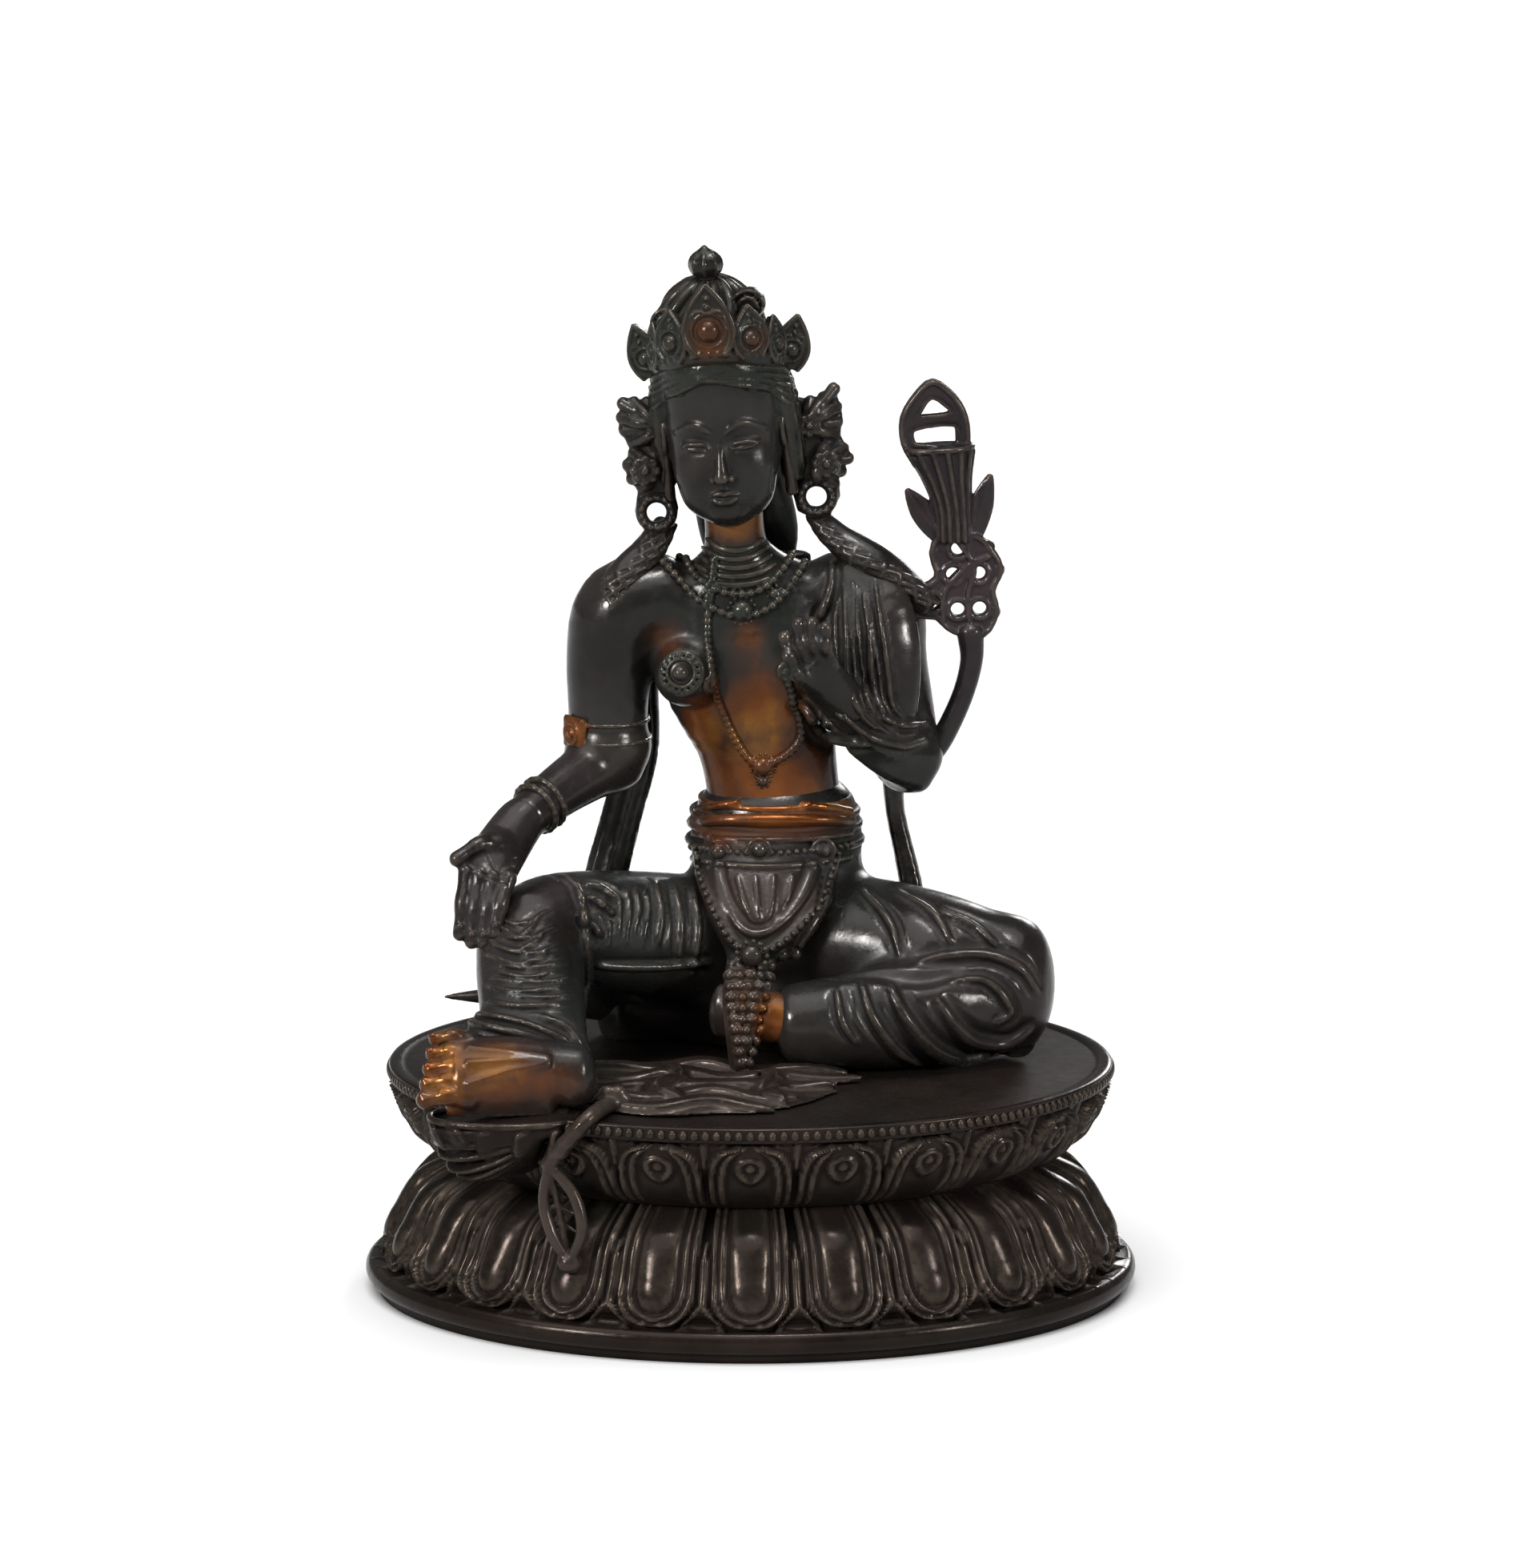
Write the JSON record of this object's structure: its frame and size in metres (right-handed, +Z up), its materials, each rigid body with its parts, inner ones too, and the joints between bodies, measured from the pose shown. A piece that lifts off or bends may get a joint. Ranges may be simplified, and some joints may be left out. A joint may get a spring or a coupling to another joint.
{
  "type": "seated tara figure on lotus plinth",
  "caption": "Seated figure of Tara in dark cast bronze, one leg folded and one foot forward on a small lotus, a lotus spray at the shoulder, on an oval double lotus plinth.",
  "frame": {"origin": "centre of the plinth's flat underside", "axes": "+Z up, she faces -Y, +X towards her left side, where the lotus spray rises"},
  "size_m": [0.156, 0.1146, 0.2104],
  "materials": {
    "plinth_bronze": "cast bronze under a brown-black patina, semi-gloss, petals rubbed brighter",
    "figure_bronze": "cast bronze under a brown-black patina, semi-gloss, worn to warm copper on belly, belt and foot"
  },
  "bodies": {
    "root": {"lotus_plinth": "plinth_bronze", "tara_figure": "figure_bronze"}
  },
  "joints": []
}
